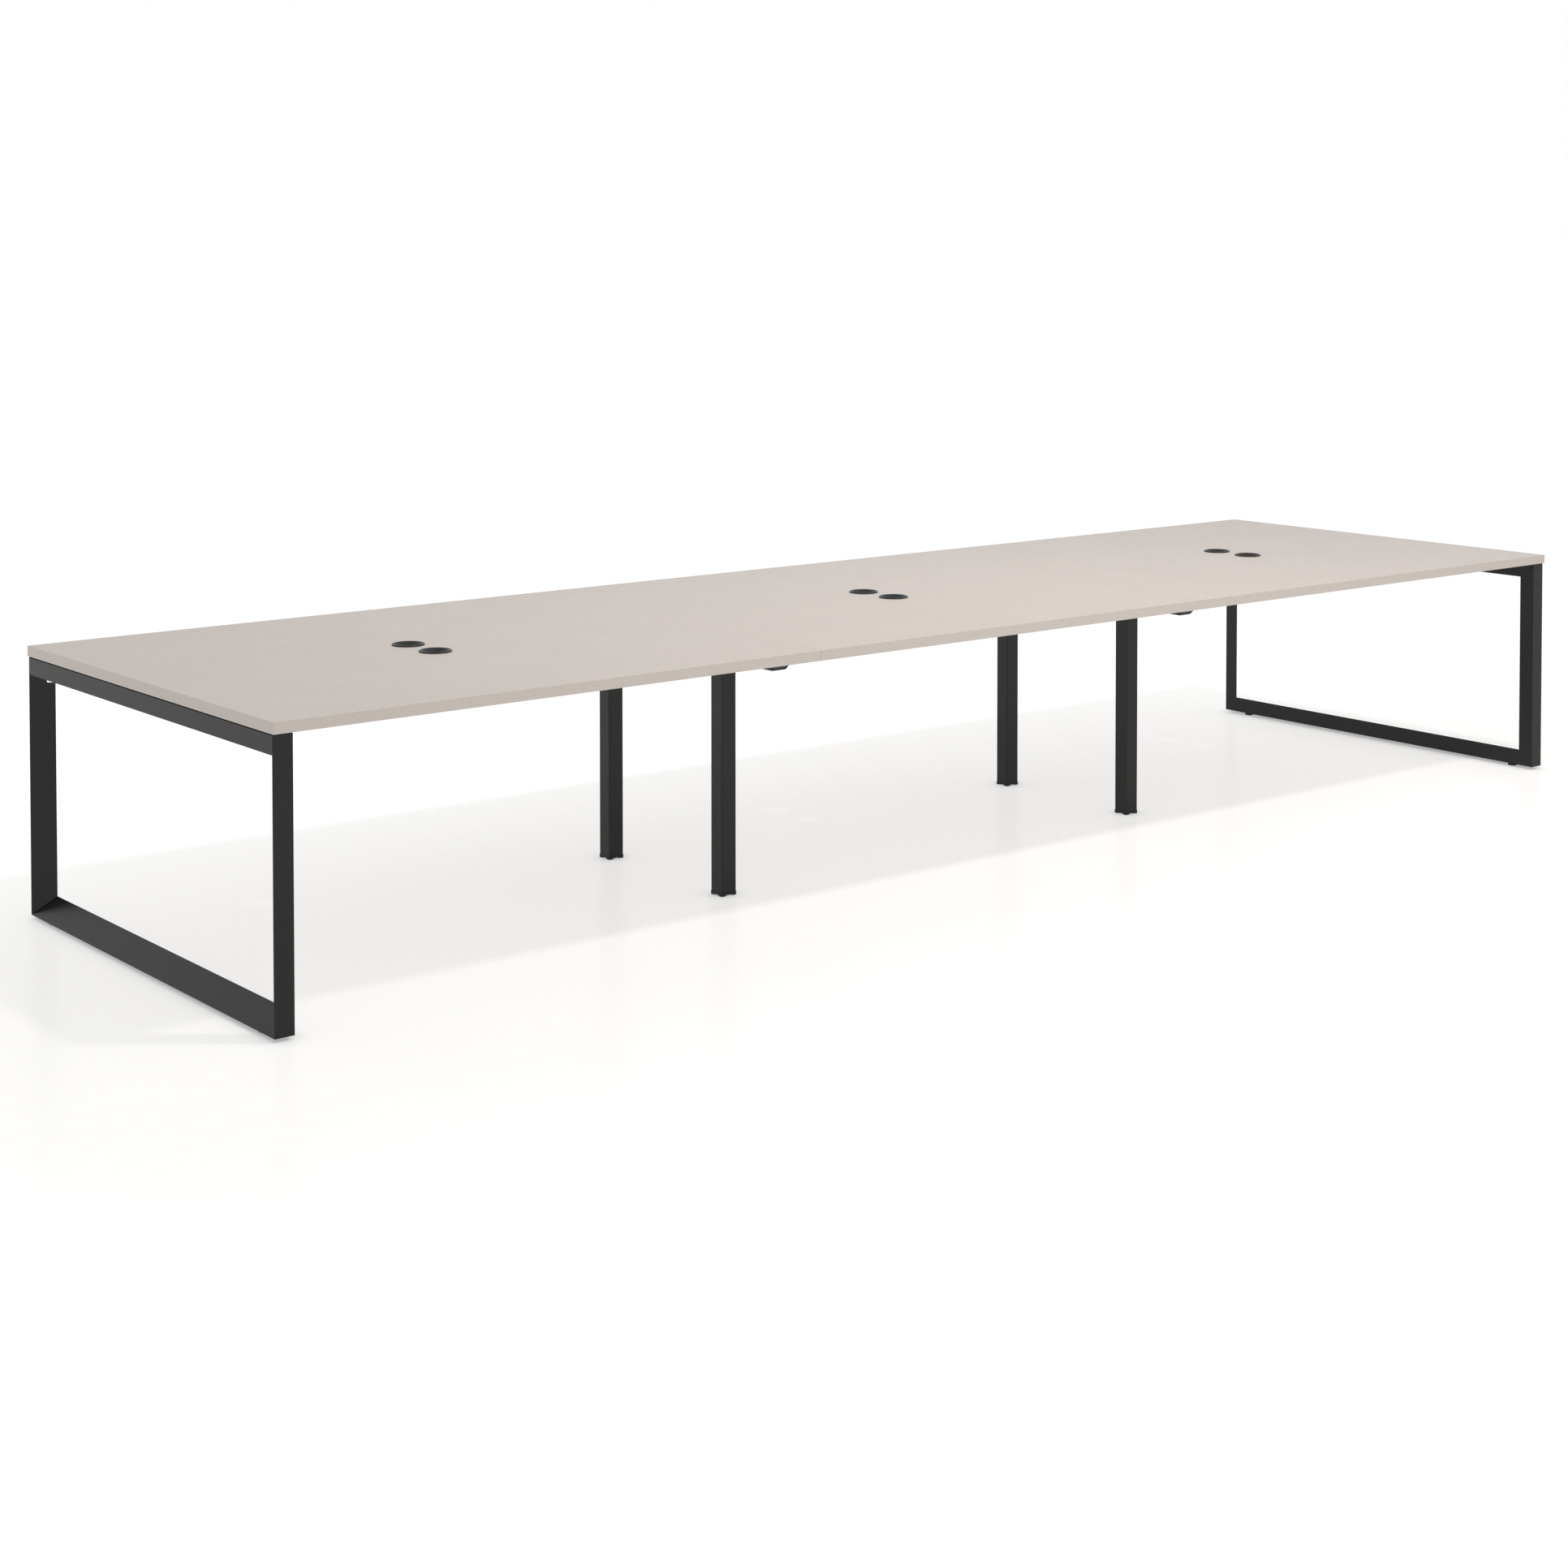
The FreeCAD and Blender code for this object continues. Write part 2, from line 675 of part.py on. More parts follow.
def spacer(place):
    disc = Part.makeCylinder(spacer_diameter / 2, spacer_height, vec(*place, frame_top_z))
    return drilled(disc, [place], screw_hole_diameter, frame_top_z, underside_z)


def at_places(shape, places, z=0):
    """Copies of the shape at the (x, y) places, as one group of separate solids."""
    return Part.makeCompound([shape.translated(vec(x, y, z)) for x, y in places])


def build():
    """Every piece of the desk, by name."""
    nodes = {}
    for bay, step in BAYS.items():
        nodes["top_" + bay] = board(step)
        nodes["edge_band_" + bay] = edge_band(step)
        for side, (x, y) in port_places(step).items():
            nodes["port_ring_" + bay + "_" + side] = port_ring().translated(vec(x, y, desk_height))

    left_frame = {
        "top_rail": left_top_rail(),
        "front_post": left_front_post(),
        "rear_post": left_rear_post(),
        "bottom_rail": left_bottom_rail(),
    }
    for piece, shape in left_frame.items():
        nodes["left_frame_" + piece] = shape
        nodes["right_frame_" + piece] = mirrored_x(shape)

    for name, (x, y) in glide_places().items():
        nodes["glide_" + name] = glide().translated(vec(x, y, 0))
    nodes["glide_nuts"] = Part.makeCompound([glide_nut(place) for place in glide_places().values()])

    for name, (x, y) in leg_places().items():
        nodes["leg_" + name] = leg().translated(vec(x, y, 0))
        nodes["foot_" + name] = foot().translated(vec(x, y, 0))
    nodes["leg_plugs"] = at_places(leg_plug(), leg_places().values())
    nodes["leg_top_plates"] = at_places(leg_top_plate(), leg_places().values())

    seams = [(sign * seam_x, 0) for sign in ENDS.values()]
    for end, place in zip(ENDS, seams):
        nodes["crossbeam_" + end] = crossbeam().translated(vec(*place, 0))
    bolts = [(x + step_x, y) for x, _ in seams for step_x, y in leg_bolt_places()]
    nodes["leg_bolts"] = at_places(leg_bolt(), bolts)
    caps = [cap.translated(vec(*place, 0)) for place in seams for cap in crossbeam_end_caps()]
    nodes["crossbeam_end_caps"] = Part.makeCompound(caps)

    for bay, span in beam_spans().items():
        for side, sign in SIDES.items():
            nodes["beam_" + bay + "_" + side] = beam(span, sign * leg_y)
    plates, bolts, nuts = beam_end_pieces()
    nodes["beam_end_plates"] = Part.makeCompound(plates)
    nodes["beam_bolts"] = Part.makeCompound(bolts)
    nodes["beam_nuts"] = Part.makeCompound(nuts)

    nodes["board_screws"] = Part.makeCompound([board_screw(place) for place in screw_places()])
    nodes["rail_strips"] = Part.makeCompound([rail_strip(sign) for sign in ENDS.values()])
    nodes["spacers"] = Part.makeCompound([spacer(place) for place in inner_screw_places()])
    return nodes


os.makedirs("parts", exist_ok=True)
for name, shape in build().items():
    shape.exportStep("parts/" + name + ".step")
    volume = sum(solid.Volume for solid in shape.Solids)
    print(name, len(shape.Solids), "solids", round(volume), "mm3", shape.isValid())
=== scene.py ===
import json
import math

import bmesh
import bpy
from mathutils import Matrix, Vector


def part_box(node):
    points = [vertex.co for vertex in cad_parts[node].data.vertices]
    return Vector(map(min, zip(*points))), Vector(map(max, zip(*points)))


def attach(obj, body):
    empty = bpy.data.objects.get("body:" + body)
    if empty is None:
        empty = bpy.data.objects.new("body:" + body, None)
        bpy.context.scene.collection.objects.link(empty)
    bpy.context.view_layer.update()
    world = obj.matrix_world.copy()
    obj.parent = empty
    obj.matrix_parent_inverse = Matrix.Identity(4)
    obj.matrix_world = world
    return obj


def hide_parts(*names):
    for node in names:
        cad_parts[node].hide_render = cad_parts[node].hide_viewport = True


# Bench desk: the finishes, levelling feet, floor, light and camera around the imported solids. Metres.

# The photograph's camera, in points of its square picture
PICTURE_SIDE = 1932
FOCAL_POINTS = 3209.6
AXIS_RIGHT_OF_CENTRE = 29.0
AXIS_ABOVE_CENTRE = 579.6
CAMERA_PLACE = (-5.1488, -6.0079, 1.8533)
CAMERA_YAW = 39.033
CAMERA_TILT_DOWN = 1.888
SENSOR_MM = 36

WHITE = "#ffffff"

# Light: a white room, brighter at its walls than overhead, and one softbox high up in front of the desk
WALL_LIGHT = 1.05
CEILING_LIGHT = 0.35
ROOM_SEEN = 1.0
SOFTBOX_PLACE = (0.3, -2.8, 6.15)
SOFTBOX_AIM = (0.6, 0.0, 0.7)
SOFTBOX_SIZE = 0.55
SOFTBOX_SPREAD = 130
SOFTBOX_WATTS = 94

# Floor: what it sends back to the desk, and how it shows
FLOOR_REACH = 60
FLOOR_STEPS = 96
FLOOR_BOUNCE = "#f2f1ef"
# Painted shade on the floor: it glows least at one point and more away from there, and distance counts for
# less along the desk
FLOOR_GLOW_NEAR = 0.662
FLOOR_GLOW_FAR = 0.765
FLOOR_NEAR = 0.62
FLOOR_FAR = 2.1
FLOOR_DARKEST = (-0.385, -0.26)
FLOOR_STRETCH = 0.32
FLOOR_SHADE = "#a09f9d"
# Painted contact shade: its glow is darker close to what stands on it
FLOOR_CONTACT_REACH = 0.05
FLOOR_CONTACT_LEAST = 0.48
FLOOR_CONTACT_SAMPLES = 8
FLOOR_SHEEN = "#3a3a3a"
FLOOR_SHEEN_ROUGHNESS = 0.22

# Levelling glides and feet, in millimetres, with the number of steps in a curve
THREAD_PITCH = 1.5
THREAD_DEPTH = 0.9
STUD_DIAMETER = 10
STUD_CHAMFER = 1.0
STUD_STEPS = 24
FOOT_HEIGHT = 10
FOOT_PAD_SIZE = 15
FOOT_PAD_HEIGHT = 3
FOOT_CORNER_ROUND = 4.3
FOOT_CORNER_STEPS = 8
GLIDE_HEIGHT = 9.3
GLIDE_CHAMFER = 1.5
GLIDE_STEPS = 64
MOULDED_EDGE_ROUND = 0.6
MOULDED_EDGE_STEPS = 3
PARTING_GROOVE = 0.4
MERGE_DISTANCE = 0.01

# Edges that turn by more than this are rounded on a moulding and stay sharp on a thread, in degrees
ROUNDED_FROM = 35
SHARP_FROM = 50

# Sockets of a Mix node set to colours, by number because other sockets on it have the same names
FACTOR = 0
COLOUR_A = 6
COLOUR_B = 7
MIXED = 2

MM = 0.001

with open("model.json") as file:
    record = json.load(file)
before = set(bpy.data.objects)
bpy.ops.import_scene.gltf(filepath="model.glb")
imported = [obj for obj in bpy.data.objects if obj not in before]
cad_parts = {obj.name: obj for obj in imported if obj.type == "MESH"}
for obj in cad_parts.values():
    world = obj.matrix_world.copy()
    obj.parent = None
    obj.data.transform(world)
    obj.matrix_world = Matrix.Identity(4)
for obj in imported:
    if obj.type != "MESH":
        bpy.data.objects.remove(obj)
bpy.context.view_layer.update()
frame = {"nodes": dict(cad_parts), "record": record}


# Small helpers for materials

def linear(code):
    """Linear colour of an sRGB hex code such as #d0c8c0."""
    values = [int(code[i:i + 2], 16) / 255 for i in (1, 3, 5)]
    curve = [v / 12.92 if v <= 0.04045 else ((v + 0.055) / 1.055) ** 2.4 for v in values]
    return (*curve, 1.0)


def per_metre(size_mm):
    """Pattern scale that gives features of this size."""
    return 1 / (size_mm * MM)


def add_node(tree, kind, inputs=None, **settings):
    """Adds a node, sets its options, and fills its inputs with values or with other nodes' outputs."""
    node = tree.nodes.new("ShaderNode" + kind)
    for name, value in settings.items():
        setattr(node, name, value)
    for name, value in (inputs or {}).items():
        if isinstance(value, bpy.types.NodeSocket):
            tree.links.new(value, node.inputs[name])
        else:
            node.inputs[name].default_value = value
    return node


def new_finish(name):
    """An empty material with its shader, and the place on the piece in metres."""
    material = bpy.data.materials.new(name)
    material.use_nodes = True
    tree = material.node_tree
    tree.nodes.clear()
    shader = add_node(tree, "BsdfPrincipled")
    add_node(tree, "OutputMaterial", {"Surface": shader.outputs["BSDF"]})
    place = add_node(tree, "TexCoord").outputs["Object"]
    return material, tree, shader, place


# The finishes

def melamine_faced_board():
    """Chipboard faced with melamine paper, pressed against a pearl-textured plate.
    A warm light grey with a fine fleck, faint clouds, and a soft sheen that is brighter at a low angle."""
    material, tree, shader, place = new_finish("melamine_faced_board")
    # The printed fleck is about 1 mm, drawn at 8 mm so that it shows from across the room
    fleck = add_node(tree, "TexNoise", {
        "Vector": place, "Scale": per_metre(8), "Detail": 4.0, "Roughness": 0.85})
    cloud = add_node(tree, "TexNoise", {"Vector": place, "Scale": per_metre(240), "Detail": 2.0})
    fleck_tone = add_node(tree, "MapRange", {
        "Value": fleck.outputs["Fac"], "From Min": 0.34, "From Max": 0.66})
    paper = add_node(tree, "Mix", {
        FACTOR: fleck_tone.outputs["Result"],
        COLOUR_A: linear("#bfb5ad"), COLOUR_B: linear("#cfc5bd")}, data_type="RGBA")
    cloud_tone = add_node(tree, "MapRange", {
        "Value": cloud.outputs["Fac"], "From Min": 0.35, "From Max": 0.65, "To Min": 0.990, "To Max": 1.010})
    tinted = add_node(tree, "Mix", {
        FACTOR: 1.0, COLOUR_A: paper.outputs[MIXED],
        COLOUR_B: cloud_tone.outputs["Result"]}, data_type="RGBA", blend_type="MULTIPLY")
    tree.links.new(tinted.outputs[MIXED], shader.inputs["Base Color"])
    gloss = add_node(tree, "MapRange", {
        "Value": fleck.outputs["Fac"], "From Min": 0.3, "From Max": 0.7, "To Min": 0.44, "To Max": 0.54})
    tree.links.new(gloss.outputs["Result"], shader.inputs["Roughness"])
    # The pearl texture's pits are 0.4 mm apart, drawn at 2.5 mm
    pearl = add_node(tree, "TexNoise", {"Vector": place, "Scale": per_metre(2.5), "Detail": 1.0})
    relief = add_node(tree, "Bump", {"Height": pearl.outputs["Fac"], "Strength": 0.12, "Distance": 0.15 * MM})
    tree.links.new(relief.outputs["Normal"], shader.inputs["Normal"])
    shader.inputs["IOR"].default_value = 1.5
    return material


def extruded_abs_edge_band():
    """ABS strip, extruded and glued round the board.
    Near the board's colour and a little plainer, with painted light: its sides are a little lighter than the
    board, and faces that point up darker. Faint lines run along it from the die, under a satin surface."""
    material, tree, shader, place = new_finish("extruded_abs_edge_band")
    # The die's lines are 2 mm apart and two thirds of a metre long
    along = add_node(tree, "Mapping", {"Vector": place, "Scale": (1.5, 1.5, per_metre(2.0))})
    lines = add_node(tree, "TexNoise", {"Vector": along.outputs["Vector"], "Scale": 1.0, "Detail": 2.0})
    # The printed fleck is about 1 mm, drawn at 5 mm so that it shows
    fleck = add_node(tree, "TexNoise", {
        "Vector": place, "Scale": per_metre(5), "Detail": 4.0, "Roughness": 0.85})
    fleck_tone = add_node(tree, "MapRange", {
        "Value": fleck.outputs["Fac"], "From Min": 0.34, "From Max": 0.66})
    # Painted light: the band's own tone is a little lighter than the board's, for its shaded sides
    tone = add_node(tree, "Mix", {
        FACTOR: fleck_tone.outputs["Result"],
        COLOUR_A: linear("#c5bbb3"), COLOUR_B: linear("#d2c8c0")}, data_type="RGBA")
    # The edge that lies in the board's face was scraped flush, so it is as dull as the board. Painted shade:
    # faces that point up also take the darker colour, near the board's, while the sides keep the lighter one.
    normal = add_node(tree, "NewGeometry").outputs["Normal"]
    upward = add_node(tree, "SeparateXYZ", {"Vector": normal}).outputs["Z"]
    scraped_and_shaded = add_node(tree, "MapRange", {
        "Value": upward, "From Min": 0.3, "From Max": 0.9}).outputs["Result"]
    tone_by_facing = add_node(tree, "Mix", {
        FACTOR: scraped_and_shaded, COLOUR_A: tone.outputs[MIXED], COLOUR_B: linear("#c5bbb3")}, data_type="RGBA")
    tree.links.new(tone_by_facing.outputs[MIXED], shader.inputs["Base Color"])
    drawn = add_node(tree, "MapRange", {
        "Value": lines.outputs["Fac"], "From Min": 0.3, "From Max": 0.7, "To Min": 0.26, "To Max": 0.36})
    gloss = add_node(tree, "MapRange", {
        "Value": scraped_and_shaded, "To Min": drawn.outputs["Result"], "To Max": 0.52})
    tree.links.new(gloss.outputs["Result"], shader.inputs["Roughness"])
    relief = add_node(tree, "Bump", {"Height": lines.outputs["Fac"], "Strength": 0.10, "Distance": 0.1 * MM})
    tree.links.new(relief.outputs["Normal"], shader.inputs["Normal"])
    shader.inputs["IOR"].default_value = 1.5
    return material


def powder_coated_steel():
    """Steel tube under polyester powder, sprayed dry and baked.
    Near black, an even satin that lightens at a low angle, a fine pebbled skin, and paler edges: the coat
    worn thin there, with a painted highlight."""
    material, tree, shader, place = new_finish("powder_coated_steel")
    # The pebble is about 1 mm across, drawn at 3 mm so that it shows
    pebble = add_node(tree, "TexNoise", {
        "Vector": place, "Scale": per_metre(3), "Detail": 2.0, "Roughness": 0.6})
    drift = add_node(tree, "TexNoise", {"Vector": place, "Scale": per_metre(180), "Detail": 3.0})
    # A rounded normal differs from the true one only near an edge
    softened = add_node(tree, "Bevel", {"Radius": 1.5 * MM}, samples=4)
    true_normal = add_node(tree, "NewGeometry")
    alike = add_node(tree, "VectorMath", {
        0: softened.outputs["Normal"], 1: true_normal.outputs["Normal"]}, operation="DOT_PRODUCT")
    edge = add_node(tree, "MapRange", {
        "Value": alike.outputs["Value"], "From Min": 0.98, "From Max": 0.80, "To Max": 0.15})
    skin = add_node(tree, "Mix", {
        FACTOR: drift.outputs["Fac"], COLOUR_A: linear("#0f0f0e"), COLOUR_B: linear("#141413")},
        data_type="RGBA")
    # Paler edges: the coat worn thin there, and a painted highlight along every edge
    worn_and_highlighted = add_node(tree, "Mix", {
        FACTOR: edge.outputs["Result"], COLOUR_A: skin.outputs[MIXED], COLOUR_B: linear("#2a2a29")},
        data_type="RGBA")
    tree.links.new(worn_and_highlighted.outputs[MIXED], shader.inputs["Base Color"])
    relief = add_node(tree, "Bump", {
        "Height": pebble.outputs["Fac"], "Strength": 0.06, "Distance": 0.15 * MM})
    tree.links.new(relief.outputs["Normal"], shader.inputs["Normal"])
    tree.links.new(relief.outputs["Normal"], shader.inputs["Coat Normal"])
    # All the gloss comes from the clear resin that rises over the pigment, and its pits take a third of it
    shader.inputs["Roughness"].default_value = 0.6
    shader.inputs["Specular IOR Level"].default_value = 0.0
    shader.inputs["Coat Weight"].default_value = 0.64
    shader.inputs["Coat Roughness"].default_value = 0.24
    shader.inputs["Coat IOR"].default_value = 1.5
    return material


def moulded_polypropylene():
    """Polypropylene, injection moulded in a spark-eroded tool.
    Black with a soft, slightly cloudy sheen and a very fine grain."""
    material, tree, shader, place = new_finish("moulded_polypropylene")
    # The grain is about 0.2 mm, drawn at 1 mm
    grain = add_node(tree, "TexNoise", {"Vector": place, "Scale": per_metre(1.0), "Detail": 2.0})
    flow = add_node(tree, "TexNoise", {"Vector": place, "Scale": per_metre(25), "Detail": 2.0})
    tone = add_node(tree, "Mix", {
        FACTOR: flow.outputs["Fac"], COLOUR_A: linear("#0f1011"), COLOUR_B: linear("#161718")},
        data_type="RGBA")
    tree.links.new(tone.outputs[MIXED], shader.inputs["Base Color"])
    gloss = add_node(tree, "MapRange", {
        "Value": grain.outputs["Fac"], "From Min": 0.3, "From Max": 0.7, "To Min": 0.34, "To Max": 0.44})
    tree.links.new(gloss.outputs["Result"], shader.inputs["Roughness"])
    relief = add_node(tree, "Bump", {"Height": grain.outputs["Fac"], "Strength": 0.12, "Distance": 0.06 * MM})
    tree.links.new(relief.outputs["Normal"], shader.inputs["Normal"])
    shader.inputs["IOR"].default_value = 1.49
    # The eroded grain scatters about a third of what a polished face would give back
    shader.inputs["Specular IOR Level"].default_value = 0.32
    return material


def strip_painted_as_gap_shade():
    """Polypropylene, foamed and extruded as a flat strip for the shadow gap under the boards, with a fine
    pitted skin. Painted shade: near black and dull, darker than the mouldings, so it stands for the dark of
    the narrow gap."""
    material, tree, shader, place = new_finish("strip_painted_as_gap_shade")
    # The pits are about 0.3 mm, drawn at 1 mm
    pits = add_node(tree, "TexNoise", {"Vector": place, "Scale": per_metre(1.0), "Detail": 2.0})
    # Painted shade: a black darker than the mouldings, for the dark of the gap
    tone = add_node(tree, "Mix", {
        FACTOR: pits.outputs["Fac"], COLOUR_A: linear("#070707"), COLOUR_B: linear("#0d0d0d")},
        data_type="RGBA")
    tree.links.new(tone.outputs[MIXED], shader.inputs["Base Color"])
    relief = add_node(tree, "Bump", {"Height": pits.outputs["Fac"], "Strength": 0.3, "Distance": 0.1 * MM})
    tree.links.new(relief.outputs["Normal"], shader.inputs["Normal"])
    shader.inputs["Roughness"].default_value = 0.9
    shader.inputs["Specular IOR Level"].default_value = 0.05
    return material


def zinc_plated_steel():
    """Cold-headed steel, electroplated with bright zinc and clear-passivated.
    Pale bluish metal with faint warm and cool clouds and a finely uneven gloss."""
    material, tree, shader, place = new_finish("zinc_plated_steel")
    cloud = add_node(tree, "TexNoise", {"Vector": place, "Scale": per_metre(4), "Detail": 2.0})
    marks = add_node(tree, "TexNoise", {"Vector": place, "Scale": per_metre(0.6), "Detail": 2.0})
    tone = add_node(tree, "Mix", {
        FACTOR: cloud.outputs["Fac"], COLOUR_A: linear("#b4b9c0"), COLOUR_B: linear("#c9c7bd")},
        data_type="RGBA")
    tree.links.new(tone.outputs[MIXED], shader.inputs["Base Color"])
    gloss = add_node(tree, "MapRange", {
        "Value": marks.outputs["Fac"], "From Min": 0.3, "From Max": 0.7, "To Min": 0.26, "To Max": 0.42})
    tree.links.new(gloss.outputs["Result"], shader.inputs["Roughness"])
    relief = add_node(tree, "Bump", {"Height": marks.outputs["Fac"], "Strength": 0.10, "Distance": 0.03 * MM})
    tree.links.new(relief.outputs["Normal"], shader.inputs["Normal"])
    shader.inputs["Metallic"].default_value = 1.0
    return material


finishes = {
    "melamine_board": melamine_faced_board(),
    "edge_band": extruded_abs_edge_band(),
    "black_powder_coat": powder_coated_steel(),
    "black_moulding": moulded_polypropylene(),
    "zinc_plated_steel": zinc_plated_steel(),
}


def dress_cad_nodes():
    """Each node gets its slot's finish, and the strips and spacers of the shadow gap get a near-black finish
    painted as the gap's shade.
    """
    gap_shade_finish = strip_painted_as_gap_shade()
    for subpart in frame["record"]["subparts"]:
        in_gap = subpart["node"] in ("rail_strips", "spacers")
        mesh = frame["nodes"][subpart["node"]].data
        mesh.materials.clear()
        mesh.materials.append(gap_shade_finish if in_gap else finishes[subpart["material_slot"]])


# Levelling feet and glides, with real threads and moulded edges

def moulded_piece(name, form, body, slot):
    """Makes an object of the form, in place, riding on the body."""
    mesh = bpy.data.meshes.new(name)
    bmesh.ops.remove_doubles(form, verts=form.verts, dist=MERGE_DISTANCE * MM)
    bmesh.ops.recalc_face_normals(form, faces=form.faces)
    form.to_mesh(mesh)
    form.free()
    mesh.materials.append(finishes[slot])
    piece = bpy.data.objects.new(name, mesh)
    bpy.context.scene.collection.objects.link(piece)
    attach(piece, body)
    return piece


def round_edges(piece, width_mm):
    """Rounds the sharp edges and smooths the rest."""
    piece.data.shade_smooth()
    rounding = piece.modifiers.new("edge_round", "BEVEL")
    rounding.width = width_mm * MM
    rounding.segments = MOULDED_EDGE_STEPS
    rounding.limit_method = "ANGLE"
    rounding.angle_limit = math.radians(ROUNDED_FROM)
    rounding.harden_normals = True


def add_walls(form, lower, upper):
    """Joins two closed rings of points with a band of faces."""
    for i in range(len(lower)):
        j = (i + 1) % len(lower)
        form.faces.new((lower[i], lower[j], upper[j], upper[i]))


def quarter_turns(point, turns):
    """The (x, y) point after that many quarter turns about the middle."""
    x, y = point
    for _ in range(turns):
        x, y = -y, x
    return x, y


def foot_base(name, body):
    """Square foot with a pad under each corner, like the solid it stands for but with moulded edges."""
    low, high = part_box(name)
    middle = (low + high) / 2
    half = (high.x - low.x) / 2
    corner = FOOT_CORNER_ROUND * MM
    inner = half - FOOT_PAD_SIZE * MM
    arch_z = low.z + FOOT_PAD_HEIGHT * MM
    top_z = low.z + FOOT_HEIGHT * MM
    angles = [math.radians(90 * i / FOOT_CORNER_STEPS) for i in range(FOOT_CORNER_STEPS + 1)]
    arc = [(half - corner + corner * math.cos(a), half - corner + corner * math.sin(a)) for a in angles]
    pad = [(half, inner), *arc, (inner, half), (inner, inner)]
    form = bmesh.new()
    outline = []
    arches = []
    for turns in range(4):
        places = [quarter_turns(point, turns) for point in pad]
        pad_low = [form.verts.new((middle.x + x, middle.y + y, low.z)) for x, y in places]
        pad_high = [form.verts.new((middle.x + x, middle.y + y, arch_z)) for x, y in places]
        form.faces.new(pad_low[::-1])
        add_walls(form, pad_low, pad_high)
        outline += pad_high[:-1]
        arches += [pad_high[0], pad_high[-1], pad_high[-2]]
    top = [form.verts.new((point.co.x, point.co.y, top_z)) for point in outline]
    form.faces.new(arches[::-1])
    add_walls(form, outline, top)
    form.faces.new(top)
    piece = moulded_piece(name + "_base", form, body, "black_moulding")
    round_edges(piece, MOULDED_EDGE_ROUND)
    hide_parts(name)
    return top_z


def add_point(form, middle, radius, angle, height):
    """Adds a point at this distance and direction from the upright line through the middle."""
    return form.verts.new((middle.x + radius * math.cos(angle), middle.y + radius * math.sin(angle), height))


def full_circle(steps):
    """The directions of that many points round a circle."""
    return [2 * math.pi * i / steps for i in range(steps)]


def add_turned(form, middle, outline):
    """Adds a closed surface turned about the upright line through the middle."""
    rings = []
    for radius, height in outline:
        rings.append([add_point(form, middle, radius, angle, height) for angle in full_circle(GLIDE_STEPS)])
    for lower, upper in zip(rings, rings[1:]):
        add_walls(form, lower, upper)
    form.faces.new(rings[0][::-1])
    form.faces.new(rings[-1])


def glide_base(name, body):
    """Round glide with chamfered edges and the fine groove where the two halves of its mould met."""
    low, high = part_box(name)
    middle = (low + high) / 2
    radius = (high.x - low.x) / 2
    chamfer = GLIDE_CHAMFER * MM
    groove = PARTING_GROOVE * MM
    top = low.z + GLIDE_HEIGHT * MM
    waist = (low.z + top) / 2
    outline = [(radius - chamfer, low.z), (radius, low.z + chamfer), (radius, waist - groove)]
    outline += [(radius - groove, waist), (radius, waist + groove)]
    outline += [(radius, top - chamfer), (radius - chamfer, top)]
    form = bmesh.new()
    add_turned(form, middle, outline)
    piece = moulded_piece(name + "_base", form, body, "black_moulding")
    round_edges(piece, PARTING_GROOVE / 2)
    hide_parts(name)
    return top


def threaded_stud(name, body, low):
    """Steel stud from the base's top up to the solid's own top, with a thread that runs out at both ends."""
    box_low, box_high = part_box(name)
    middle = (box_low + box_high) / 2
    high = box_high.z
    pitch = THREAD_PITCH * MM
    outer = STUD_DIAMETER / 2 * MM
    core = outer - THREAD_DEPTH * MM
    tip = outer - STUD_CHAMFER * MM
    flank = (outer + core) / 2
    wave = [outer, flank, core, flank]
    rows = len(wave) * (math.ceil((high - low) / pitch) + 1)
    circle = full_circle(STUD_STEPS)
    form = bmesh.new()
    grid = []
    for row in range(-len(wave), rows):
        line = []
        for step, angle in enumerate([*circle, 2 * math.pi]):
            height = low + pitch * (row / len(wave) + step / STUD_STEPS)
            height = min(max(height, low), high)
            radius = min(wave[row % len(wave)], core + height - low, tip + high - height)
            line.append(add_point(form, middle, radius, angle, height))
        grid.append(line)
    for lower, upper in zip(grid, grid[1:]):
        for i in range(STUD_STEPS):
            form.faces.new((lower[i], lower[i + 1], upper[i + 1], upper[i]))
    for radius, height in ((core, low), (tip, high)):
        form.faces.new([add_point(form, middle, radius, angle, height) for angle in circle])
    piece = moulded_piece(name + "_stud", form, body, "zinc_plated_steel")
    piece.data.shade_smooth()
    piece.data.set_sharp_from_angle(angle=math.radians(SHARP_FROM))


def dress_levellers():
    """Puts a moulded base and a threaded stud in the place of each plain glide and foot."""
    for end in ("left", "right"):
        for side in ("front", "rear"):
            glide = "glide_" + end + "_" + side
            threaded_stud(glide, glide, glide_base(glide, glide))
            foot = "foot_" + end + "_" + side
            threaded_stud(foot, foot, foot_base(foot, foot))


# Floor, light and camera

def shown_directly(tree):
    """1 where the eye, a mirror or glass shows a surface, and 0 for the light that it sends on."""
    path = add_node(tree, "LightPath").outputs
    first = add_node(tree, "Math", {0: path["Is Camera Ray"], 1: path["Is Glossy Ray"]}, operation="MAXIMUM")
    both = add_node(tree, "Math", {
        0: first.outputs["Value"], 1: path["Is Transmission Ray"]}, operation="MAXIMUM")
    return both.outputs["Value"]


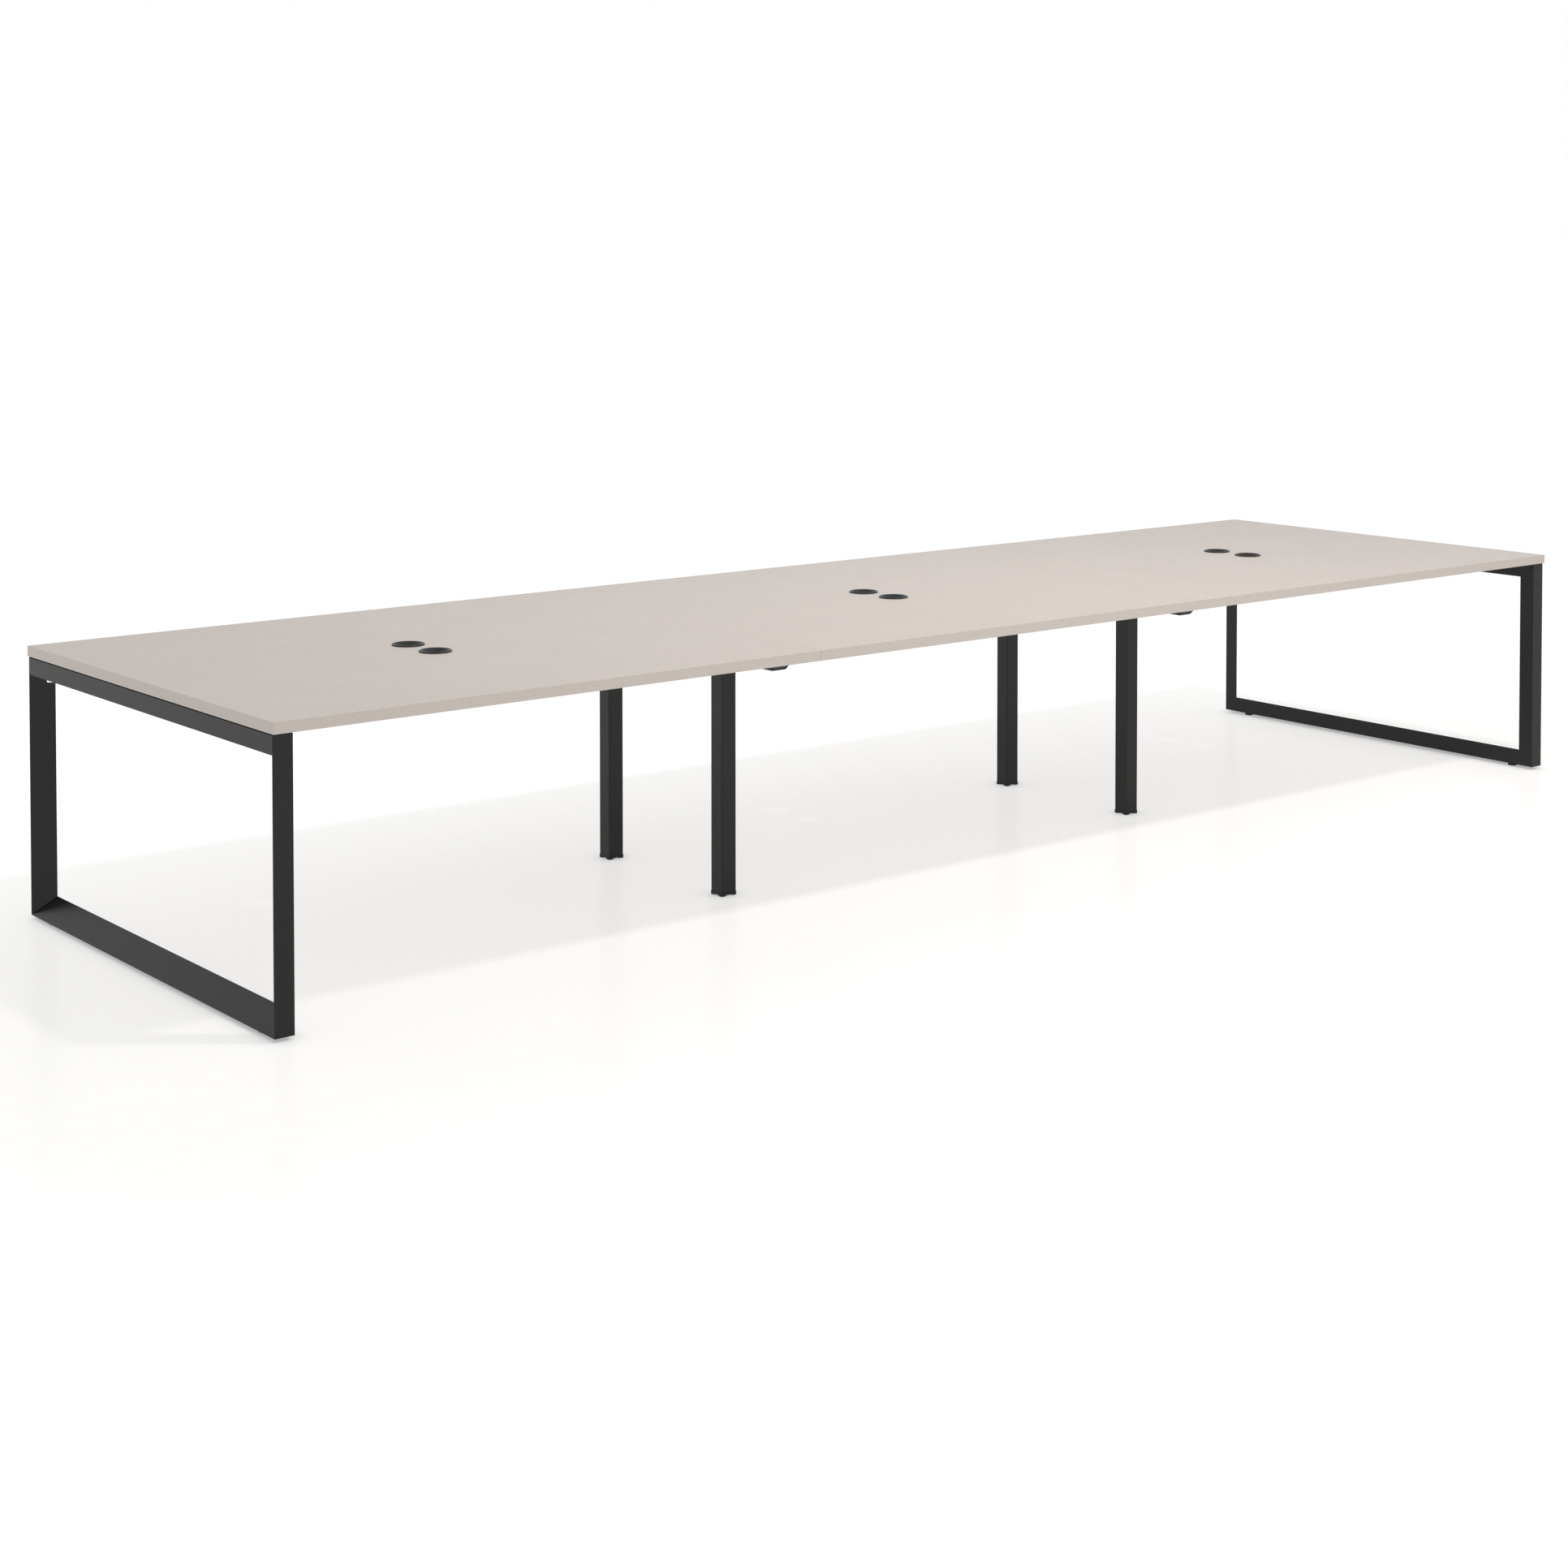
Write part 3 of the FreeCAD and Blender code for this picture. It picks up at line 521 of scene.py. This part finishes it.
def painted_studio_floor():
    """White studio floor, painted and lightly polished: it shows white, keeps the desk's shadow,
    and gives a faint blurred reflection."""
    material = bpy.data.materials.new("painted_studio_floor")
    material.use_nodes = True
    tree = material.node_tree
    tree.nodes.clear()
    bounce = add_node(tree, "BsdfDiffuse", {"Color": linear(FLOOR_BOUNCE)})
    # Painted shade: its glow grows lighter away from the desk, mostly to the front and back
    place = add_node(tree, "TexCoord").outputs["Object"]
    dark_x, dark_y = FLOOR_DARKEST
    shortened = add_node(tree, "Mapping", {
        "Vector": place, "Location": (-FLOOR_STRETCH * dark_x, -dark_y, 0), "Scale": (FLOOR_STRETCH, 1, 1)})
    away = add_node(tree, "VectorMath", {0: shortened.outputs["Vector"]}, operation="LENGTH").outputs["Value"]
    sweep = add_node(tree, "MapRange", {
        "Value": away, "From Min": FLOOR_NEAR, "From Max": FLOOR_FAR,
        "To Min": FLOOR_GLOW_NEAR, "To Max": FLOOR_GLOW_FAR}).outputs["Result"]
    openness = add_node(tree, "AmbientOcclusion", {
        "Distance": FLOOR_CONTACT_REACH}, samples=FLOOR_CONTACT_SAMPLES).outputs["AO"]
    # Painted contact shade: the glow dims where something stands close over it
    contact_shade = add_node(tree, "MapRange", {"Value": openness, "To Min": FLOOR_CONTACT_LEAST}).outputs["Result"]
    level = add_node(tree, "Math", {0: sweep, 1: contact_shade}, operation="MULTIPLY").outputs["Value"]
    glow = add_node(tree, "Emission", {"Color": linear(WHITE), "Strength": level})
    shade = add_node(tree, "BsdfDiffuse", {"Color": linear(FLOOR_SHADE)})
    sheen = add_node(tree, "BsdfGlossy", {"Color": linear(FLOOR_SHEEN), "Roughness": FLOOR_SHEEN_ROUGHNESS})
    lit = add_node(tree, "AddShader", {0: glow.outputs["Emission"], 1: shade.outputs["BSDF"]})
    polished = add_node(tree, "AddShader", {0: lit.outputs["Shader"], 1: sheen.outputs["BSDF"]})
    surface = add_node(tree, "MixShader", {
        0: shown_directly(tree), 1: bounce.outputs["BSDF"], 2: polished.outputs["Shader"]})
    add_node(tree, "OutputMaterial", {"Surface": surface.outputs["Shader"]})
    material.cycles.emission_sampling = "NONE"
    return material


def lay_floor():
    """A round floor that reaches far behind the desk."""
    form = bmesh.new()
    bmesh.ops.create_circle(form, cap_ends=True, segments=FLOOR_STEPS, radius=FLOOR_REACH)
    mesh = bpy.data.meshes.new("studio_floor")
    form.to_mesh(mesh)
    form.free()
    mesh.materials.append(painted_studio_floor())
    floor = bpy.data.objects.new("studio_floor", mesh)
    bpy.context.scene.collection.objects.link(floor)


def light_room():
    """White light from all round, less of it from overhead."""
    world = bpy.data.worlds.new("white_room")
    world.use_nodes = True
    tree = world.node_tree
    tree.nodes.clear()
    direction = add_node(tree, "TexCoord").outputs["Generated"]
    height = add_node(tree, "SeparateXYZ", {"Vector": direction}).outputs["Z"]
    light = add_node(tree, "MapRange", {"Value": height, "To Min": WALL_LIGHT, "To Max": CEILING_LIGHT})
    level = add_node(tree, "MapRange", {
        "Value": shown_directly(tree), "To Min": light.outputs["Result"], "To Max": ROOM_SEEN})
    white = add_node(tree, "Background", {"Color": linear(WHITE), "Strength": level.outputs["Result"]})
    add_node(tree, "OutputWorld", {"Surface": white.outputs["Background"]})
    bpy.context.scene.world = world


def hang_softbox():
    """The round softbox that casts the desk's shadow."""
    lamp = bpy.data.lights.new("softbox", "AREA")
    lamp.shape = "DISK"
    lamp.size = SOFTBOX_SIZE
    lamp.spread = math.radians(SOFTBOX_SPREAD)
    lamp.energy = SOFTBOX_WATTS
    softbox = bpy.data.objects.new("softbox", lamp)
    softbox.location = SOFTBOX_PLACE
    aim = Vector(SOFTBOX_AIM) - Vector(SOFTBOX_PLACE)
    softbox.rotation_euler = aim.to_track_quat("-Z", "Y").to_euler()
    bpy.context.scene.collection.objects.link(softbox)


def place_camera():
    """The photograph's camera, almost level, with its picture centred well below the lens axis."""
    lens = bpy.data.cameras.new("photograph_camera")
    lens.sensor_width = SENSOR_MM
    lens.lens = SENSOR_MM * FOCAL_POINTS / PICTURE_SIDE
    lens.shift_x = -AXIS_RIGHT_OF_CENTRE / PICTURE_SIDE
    lens.shift_y = -AXIS_ABOVE_CENTRE / PICTURE_SIDE
    camera = bpy.data.objects.new("photograph_camera", lens)
    camera.location = CAMERA_PLACE
    camera.rotation_euler = (math.radians(90 - CAMERA_TILT_DOWN), 0, math.radians(-CAMERA_YAW))
    bpy.context.scene.collection.objects.link(camera)
    bpy.context.scene.camera = camera


dress_cad_nodes()
dress_levellers()
lay_floor()
light_room()
hang_softbox()
place_camera()
bpy.context.scene.view_settings.view_transform = "Standard"
